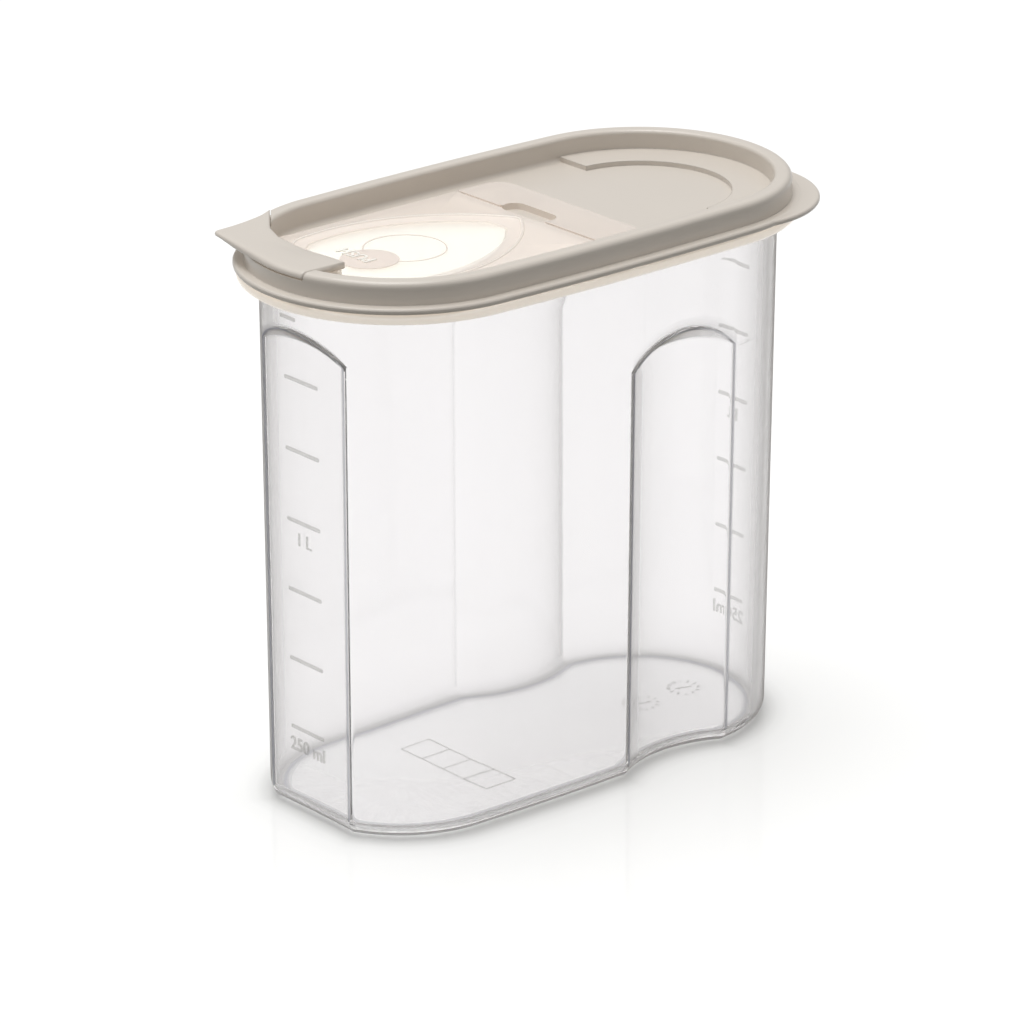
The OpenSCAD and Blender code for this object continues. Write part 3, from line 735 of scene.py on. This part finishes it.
def makeFlapPanel(f):
    # closed shell in polar rows about the flap's centre: top with the thin leaf and the raised rim, rounded edge,
    # underside with the leaf's plug wall
    cx = f["centre"][0]
    slotHalf = f["slotEnd"] + f["slotR"]
    corners = [(x, y) for x in (f["hingeX"], f["cornerX"]) for y in (f["halfW"], -f["halfW"])]
    corners += [(f["hingeX"], f["slotY"] + y) for y in (slotHalf, -slotHalf)]
    turns = [math.atan2(y, x - cx) for x, y in corners]
    angles = np.unique(np.concatenate([np.linspace(-math.pi, math.pi, 541)[:-1], turns]))
    u = np.stack([np.cos(angles), np.sin(angles)], axis=-1)
    cols = len(u)
    rows = []

    def addRow(reach, z):
        rows.append(atHeight(u * reach[:, None] + [cx, 0], z))

    outer = panelReach(f, u)
    leafEdge = leafReach(f, u, -f["thinInset"], f["stepTipX"])
    for share in f["leafRows"]:
        addRow(leafEdge * share, f["high"] - f["thinDepth"])
    for out, drop in f["thinStep"]:
        addRow(leafReach(f, u, f["thinBorder"] + out, f["stepTipX"]), f["high"] - f["thinDepth"] * drop)
    leafEnd = len(rows) - 3
    rimPlace = u * leafReach(f, u, f["rimBorder"], f["rimTipX"])[:, None] + [cx, 0]
    # the rim isn't raised under the lip's root
    shown = smoothStep((rimPlace[:, 0] - f["rimHiddenX"]) / f["rimHiddenRun"])
    shown = np.where(rimPlace[:, 1] > f["lipNearY"], shown, 1.0)
    rimStart = len(rows)
    for out, rise in f["rimStep"]:
        addRow(leafReach(f, u, f["rimBorder"] + out, f["rimTipX"]), f["high"] + f["rimHeight"] * rise * shown)
    e = f["edge"]
    for dx, dz in arc(-e, -e, e, 90, 0, 5):
        addRow(outer + dx, f["high"] + dz)
    e *= 0.6
    for dx, dz in arc(-e, e, e, 0, -90, 4):
        addRow(outer + dx, f["low"] + dz)
    plugOut, plugIn = leafReach(f, u, -f["plugGap"]), leafReach(f, u, -f["plugGap"] - f["plugT"])
    foot, root = f["low"] - f["plugH"], f["plugRoot"]
    addRow(plugOut + root, f["low"])
    addRow(plugOut, f["low"] - f["plugNeck"])
    for dx, dz in arc(-root, root, root, 0, -90, 4):
        addRow(plugOut + dx, foot + dz)
    for dx, dz in arc(root, root, root, -90, -180, 4):
        addRow(plugIn + dx, foot + dz)
    addRow(plugIn, f["low"] - f["plugNeck"])
    addRow(plugIn - root, f["low"])
    underStart = len(rows) - 1
    for share in (0.9, 0.7, 0.5, 0.3, 0.12, 0.02):
        addRow((plugIn - root) * share, f["low"])

    obj = meshObject("flapPanel", np.stack(rows).reshape(-1, 3), gridFaces(len(rows), cols), flapPale)
    rowOf = np.arange(len(obj.data.polygons)) // cols
    # painted highlight: the rim's two shoulder rows take the paler rim material where the rim is shown
    onHighlightCrest = np.isin(rowOf, (rimStart + 2, rimStart + 5)) & np.tile(shown > 0.5, len(rowOf) // cols)
    # the thin leaf and the underside inside the plug take the leaf material, painted paler for light from the
    # opening
    onLitLeaf = (rowOf < leafEnd) | (rowOf >= underStart)
    paintFaces(obj, (leafLitPale, rimHighlightPale), np.where(onLitLeaf, 1, np.where(onHighlightCrest, 2, 0)))
    mergeClose(obj, outwards=True, fillMiddle=True)
    return obj


wall = {
    "path": ((-83.2, -9.2), (-77.1, -9.2), (-76.55, -9.0), (-76.3, -8.4), (-76.3, 20.0), (-74.1, 26.2)),
    "step": 0.5, "half": 0.67, "low": 168.7, "high": 173.4, "soft": 0.2,
}


def makeWall(w):
    # upright wall under the lip: a rounded rectangle carried along an open path in plan, closed at both ends
    path = resample(np.array(w["path"]), w["step"], False)
    side = sideways(np.gradient(path, axis=0))
    half, low, high, soft = w["half"], w["low"], w["high"], w["soft"]
    crown = [arc(half - soft, high - soft, soft, 0, 90, 4), arc(-half + soft, high - soft, soft, 90, 180, 4)]
    section = np.concatenate([*crown, [[-half, low], [half, low]]])
    rows = np.stack([atHeight(path + side * n, z) for n, z in section], axis=1)
    obj = meshObject("flapWall", rows.reshape(-1, 3), bandFaces(len(path), len(section)), wallLitPale)
    mergeClose(obj, outwards=True)
    return obj


lip = {
    "low": 172.8, "top": 174.8, "endX": 47.4, "steps": 150,
    "ringR": 44.95, "rootR": 44.65, "nearY": -10.0,                  # arc round the spout end, from the near cut
    "pullR": 1.8, "pullReach": 8.4, "pullAngle": 137, "flankBow": 1.6,
    "cut": (-72.0, 28.7), "cutAngle": 52,                            # slanted corner at the far end
    "inner": ((-75.5, -10.0), (-75.5, 19.0), (-75.2, 20.7)), "cutShoulder": (0.25, 0.55), "cutStep": 0.6,
    "ringSteps": 30, "pullSteps": 9, "flankSteps": 25,
    "ringSoft": 1.7, "pullSoft": 0.9, "flankSoft": 0.8, "innerSoft": 0.45, "underSoft": 0.3, "mostSoft": 0.3,
    "dish": 0.7, "dishY": 8, "dishHalf": 9, "dishX": -82.5, "dishRun": 6,
    "undercut": 0.8, "undercutR": 46.0, "undercutRun": 6.5,
}


def lipEdges(l):
    # plan of the lip's long edges from the near cut to the far point: outside the ring's arc, straight flank, pull
    # point and hollow flank, inside the straight edge with its slanted corner
    e = np.array([-l["endX"], 0.0])
    outR, rootR, tipR, turn = l["ringR"], l["rootR"], l["pullR"], math.radians(l["pullAngle"])
    tipD = outR + l["pullReach"] - tipR
    s = math.acos((rootR - tipR) / tipD)
    spin = np.array([[math.cos(turn), math.sin(turn)], [-math.sin(turn), math.cos(turn)]])
    root = np.array([rootR * math.cos(s), -rootR * math.sin(s)])
    tip = np.array([[tipD + tipR * math.cos(a), tipR * math.sin(a)] for a in np.linspace(s, -s, l["pullSteps"])])
    run = tip[-1] - root
    across = np.array([-run[1], run[0]]) / np.linalg.norm(run)
    k = np.linspace(1, 0, l["flankSteps"])[1:, None]
    flank = root + k * run + 4 * l["flankBow"] * k * (1 - k) * across
    flank, tip = e + flank @ spin, e + tip @ spin
    # the far flank ends where it meets the slanted line of the cut
    angle = math.radians(l["cutAngle"])
    cut, way = np.array(l["cut"]), np.array([math.cos(angle), math.sin(angle)])
    beyond = way[0] * (flank[:, 1] - cut[1]) - way[1] * (flank[:, 0] - cut[0])
    last = int(np.argmax(beyond < 0))
    share = beyond[last - 1] / (beyond[last - 1] - beyond[last])
    meet = flank[last - 1] + share * (flank[last] - flank[last - 1])
    ringA = np.linspace(math.pi + math.asin(-l["nearY"] / outR), turn + s, l["ringSteps"])
    ring = e + outR * np.stack([np.cos(ringA), np.sin(ringA)], axis=-1)
    outer = np.concatenate([ring, tip, flank[:last], meet[None]])
    softs = ((len(ring), l["ringSoft"]), (len(tip), l["pullSoft"]), (last + 1, l["flankSoft"]))
    rounding = np.concatenate([np.full(n, soft) for n, soft in softs])
    inner = np.array([*l["inner"], cut - l["cutShoulder"], cut + way * l["cutStep"], meet])
    return outer, rounding, inner


def eased(values, times):
    # a row of values with its bends eased, its two ends held
    for _ in range(times):
        values[1:-1] = (values[:-2] + 2 * values[1:-1] + values[2:]) / 4
    return values


def evenly(points, count):
    # a polyline walked in equal steps, its corners eased, with the distances to its steps and to its corners
    run = np.concatenate([[0], np.cumsum(np.linalg.norm(np.diff(points, axis=0), axis=1))])
    at = np.linspace(0, run[-1], count)
    return eased(np.stack([np.interp(at, run, points[:, k]) for k in (0, 1)], axis=-1), 2), at, run


def makeLip(l):
    # closed band: at each step along the lip a section with rounded upper edges runs from its outer to its inner
    # edge; slight dish for the finger, thinner at the pull point
    outer, rounding, inner = lipEdges(l)
    cols = l["steps"]
    outer, at, run = evenly(outer, cols)
    r = eased(np.interp(at, run, rounding), 12)
    inner = evenly(inner, cols)[0]
    fromOut, fromIn = sideways(np.gradient(outer, axis=0)), -sideways(np.gradient(inner, axis=0))
    width = np.linalg.norm(outer - inner, axis=1)
    r = np.minimum(r, l["mostSoft"] * width)
    ri = np.minimum(l["innerSoft"], l["mostSoft"] * width)
    low = np.minimum(l["underSoft"], l["mostSoft"] / 2 * width)
    out = np.hypot(outer[:, 0] + l["endX"], outer[:, 1])
    bottomOut = l["low"] + l["undercut"] * smoothStep((out - l["undercutR"]) / l["undercutRun"])
    section = []

    def add(place, z):
        section.append(atHeight(place, z))

    def topAt(place):
        # the top lowered by up to the dish's depth near the middle of the inner edge
        near = np.exp(-((place[:, 1] - l["dishY"]) / l["dishHalf"]) ** 2)
        return l["top"] - l["dish"] * near * smoothStep((place[:, 0] - l["dishX"]) / l["dishRun"])

    for a in np.radians([0, 18, 36, 54, 72, 90]):
        place = outer + fromOut * (r * (1 - math.cos(a)))[:, None]
        add(place, topAt(place) - r * (1 - math.sin(a)))
    edgeOut, edgeIn = outer + fromOut * r[:, None], inner + fromIn * ri[:, None]
    for share in (0.12, 0.3, 0.5, 0.7, 0.88):
        place = edgeOut * (1 - share) + edgeIn * share
        add(place, topAt(place))
    for a in np.radians([90, 60, 30, 0]):
        place = inner + fromIn * (ri * (1 - math.cos(a)))[:, None]
        add(place, topAt(place) - ri * (1 - math.sin(a)))
    for a in np.radians([0, -45, -90]):
        add(inner + fromIn * (low * (1 - math.cos(a)))[:, None], l["low"] + low * (1 + math.sin(a)))
    add(outer * 0.5 + inner * 0.5, (bottomOut + l["low"]) / 2)
    for a in np.radians([-90, -45, 0]):
        add(outer + fromOut * (low * (1 - math.cos(a)))[:, None], bottomOut + low * (1 + math.sin(a)) * 0.98)
    points = np.stack(section, axis=1).reshape(-1, 3)
    obj = meshObject("flapLip", points, bandFaces(cols, len(section)), lidBeige)
    mergeClose(obj, outwards=True)
    return obj


window = {"low": 167.95, "edge": 168.03, "high": 168.12, "columns": 360, "shares": (0.02, 0.5, 0.99)}


def makeLeafWindow(w, f):
    # painted light: a thin bright sheet inside the panel, as far as the opening under it, standing for the light
    # that comes through the thin leaf
    angles = np.linspace(-math.pi, math.pi, w["columns"] + 1)[:-1]
    u = np.stack([np.cos(angles), np.sin(angles)], axis=-1)
    reach = leafReach(f, u, 0.0)
    steps = [(share, w["high"]) for share in w["shares"]] + [(1.0, w["edge"])]
    steps += [(share, w["low"]) for share in w["shares"][::-1]]
    rows = [atHeight(u * (reach * share)[:, None] + f["centre"], z) for share, z in steps]
    faces = gridFaces(len(rows), len(u))
    obj = meshObject("leafWindow", np.stack(rows).reshape(-1, 3), faces, windowPale)
    mergeClose(obj, outwards=True, fillMiddle=True)
    return obj


flapPanel = makeFlapPanel(flap)
flapWall = makeWall(wall)
flapLip = makeLip(lip)
leafWindow = makeLeafWindow(window, flap)
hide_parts("spout_flap")
print("flap panel, wall and lip:", len(flapPanel.data.polygons), "faces in the panel")


push = {
    "place": (-57.8, 0.6), "r": 8.7, "height": 0.22, "sink": 0.05, "floorZ": 168.9,
    "word": "PUSH", "wordSize": 6.0, "wordPlace": (-58.8, 5.2), "wordHeight": 0.3, "wordSink": 0.1,
    "ringPlace": (-43.3, 2.1), "ringR": 12.5, "ringWidth": 0.5, "ringHeight": 0.12,
    # (share of the width, millimetres more, share of the height) across the ring
    "ringSection": ((0, 0.1, 0.8), (0.5, 0, 1), (1, -0.1, 0.8)),
}


def makePushMarks(p):
    # slightly raised disc, letters on it that read from the hinge side, and a faint round gate mark
    a = np.linspace(0, 2 * math.pi, 97)[:-1]
    circle = np.stack([np.cos(a), np.sin(a)], axis=-1)

    def lift(points):
        return np.column_stack([points[:, :2], points[:, 2] + p["floorZ"]])

    points, faces = reliefPatch(circle * p["r"] + p["place"], p["height"], p["sink"])
    disc = joined("pushDisc", [(lift(points), faces)], discPale)
    points, faces = textMesh(p["word"], p["wordSize"], p["wordHeight"] + p["wordSink"])
    (x, y), z = p["wordPlace"], p["height"] - p["wordSink"]
    placed = np.column_stack([x - points[:, 1], y + points[:, 0], points[:, 2] + z])
    letters = joined("pushLetters", [(lift(placed), faces)], letterPale, smooth=False)
    w, h = p["ringWidth"], p["ringHeight"]
    section = [(0, -p["sink"]), *((w * k + more, h * rise) for k, more, rise in p["ringSection"]), (w, -p["sink"])]
    rows = [atHeight(circle * (p["ringR"] - n) + p["ringPlace"], z) for n, z in section + section[:1]]
    ring = joined("gateRing", [(lift(np.concatenate(rows)), gridFaces(len(rows), len(a)))], discPale)
    return disc, letters, ring


for piece in (flapPanel, flapWall, flapLip, leafWindow, *makePushMarks(push)):
    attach(piece, "flap")
print("push marks added")


studio = {
    "floorSeen": "#BDBDBB", "floorBounce": "#6A675F",   # the floor as seen, and as a source of bounced light
    # what the floor adds to be seen as white, by distance from the tub's outline: lowered round the foot as painted
    # contact shadow, raised under the tub as painted light
    "floorGlowPaintedNearTub": ((6000, 0.55), (900, 0.55), (120, 0.55), (40, 0.55), (14, 0.54), (8, 0.51), (4.5, 0.45),
                  (2, 0.34), (0, 0.24), (-1.5, 0.2), (-3, 0.3), (-4.5, 0.6), (-6, 0.8), (-9, 0.86), (-20, 0.87)),
    "footZone": 20,                                     # nearer than this the rows follow the hollows too
    "skyTop": 0.52, "skySide": 0.3, "skyRise": (0.0, 0.8),
    "seenSky": 0.97, "seenSide": 0.5, "seenRise": (0.05, 0.75),
    "keyStrength": 1.8, "keyAngle": 36.0, "keyTilt": (-3.0, 6.0),
    "boxPower": 1.5, "boxSize": (0.9, 0.5), "boxPlace": (-0.35, 0.55, 0.95), "boxTarget": (0, 0, 0.15),
}


def seenDirectly(tree):
    # 1 until a ray has bounced off something matt, so the studio is white when seen, mirrored or through plastic
    path = addNode(tree, "LightPath")
    return addNode(tree, "Math", {"operation": "LESS_THAN"}, i0=path.outputs["Diffuse Depth"], i1=0.5)


def makeFloor(s):
    # level sheet in rows round the tub's foot, so that its glow can be held back along the foot as painted contact
    # shadow, and raised under the tub as painted light
    base, normal = ovalOutline(tub, tubSpacing)
    cols = len(base)
    depth, _ = hollowDepth(tub, base, 0)
    rows = [base + normal * (offset - depth * (offset < s["footZone"]))[:, None] for offset, _ in s["floorGlowPaintedNearTub"]]
    rows.append(atHeight(np.clip(base[:, 0], -tub["endX"], tub["endX"]), 0))
    levels = [level for _, level in s["floorGlowPaintedNearTub"]]
    levels.append(levels[-1])
    material, tree = newMaterial("whiteAcrylicSheet")
    seen = seenDirectly(tree)
    colour = addNode(tree, "Mix", {"data_type": "RGBA"}, Factor=seen, i6=s["floorBounce"], i7=s["floorSeen"])
    surface = addNode(tree, "BsdfPrincipled", Roughness=0.07, IOR=1.55, Base_Color=colour.outputs[2])
    share = addNode(tree, "Attribute", {"attribute_name": "glowPaintedNearTub"})
    level = addNode(tree, "Math", {"operation": "MULTIPLY"}, i0=seen, i1=share.outputs["Fac"])
    glowPaintedNearTub = addNode(tree, "Emission", Color="#FFFFFF", Strength=level)
    both = addNode(tree, "AddShader", i0=surface, i1=glowPaintedNearTub)
    addNode(tree, "OutputMaterial", Surface=both)
    floor = meshObject("floor", atHeight(np.concatenate(rows), 0), gridFaces(len(rows), cols), material)
    pointValues(floor, "glowPaintedNearTub", np.repeat(levels, cols))
    mergeClose(floor)


def makeWorld(s):
    # even light for matt surfaces; seen directly it is white above and greyer to the sides, as a white room with
    # dark flags
    world = bpy.data.worlds.new("studio")
    bpy.context.scene.world = world
    world.use_nodes = True
    tree = world.node_tree
    tree.nodes.clear()
    coords = addNode(tree, "TexCoord")
    parts = addNode(tree, "SeparateXYZ", Vector=coords.outputs["Generated"])
    levels = []
    for low, high, rise in (("skySide", "skyTop", "skyRise"), ("seenSide", "seenSky", "seenRise")):
        ramp = addNode(tree, "MapRange", {"interpolation_type": "SMOOTHSTEP"}, Value=parts.outputs["Z"],
                       From_Min=s[rise][0], From_Max=s[rise][1], To_Min=s[low], To_Max=s[high])
        levels.append(ramp)
    level = addNode(tree, "Mix", {"data_type": "FLOAT"}, Factor=seenDirectly(tree), i2=levels[0], i3=levels[1])
    sky = addNode(tree, "Background", Strength=level)
    addNode(tree, "OutputWorld", Surface=sky)


def lampFrame(back):
    back = np.array(back, float) / np.linalg.norm(back)
    side = np.cross([0, 1, 0.001], back)
    side /= np.linalg.norm(side)
    return np.stack([side, np.cross(back, side), back], axis=1)


def addLamp(name, kind, place, towards, **settings):
    lamp = bpy.data.lights.new(name, kind)
    for key, value in settings.items():
        setattr(lamp, key, value)
    obj = bpy.data.objects.new(name, lamp)
    turn = lampFrame(np.array(place, float) - np.array(towards, float))
    obj.matrix_world = poseMatrix(turn, place)
    bpy.context.scene.collection.objects.link(obj)


makeFloor(studio)
makeWorld(studio)
tiltX, tiltY = (math.tan(math.radians(a)) for a in studio["keyTilt"])
addLamp("keySun", "SUN", (tiltX, tiltY, 1.0), (0, 0, 0),
        energy=studio["keyStrength"], angle=math.radians(studio["keyAngle"]))
addLamp("softbox", "AREA", studio["boxPlace"], studio["boxTarget"], energy=studio["boxPower"],
        shape="RECTANGLE", size=studio["boxSize"][0], size_y=studio["boxSize"][1])
print("stage and light ready")
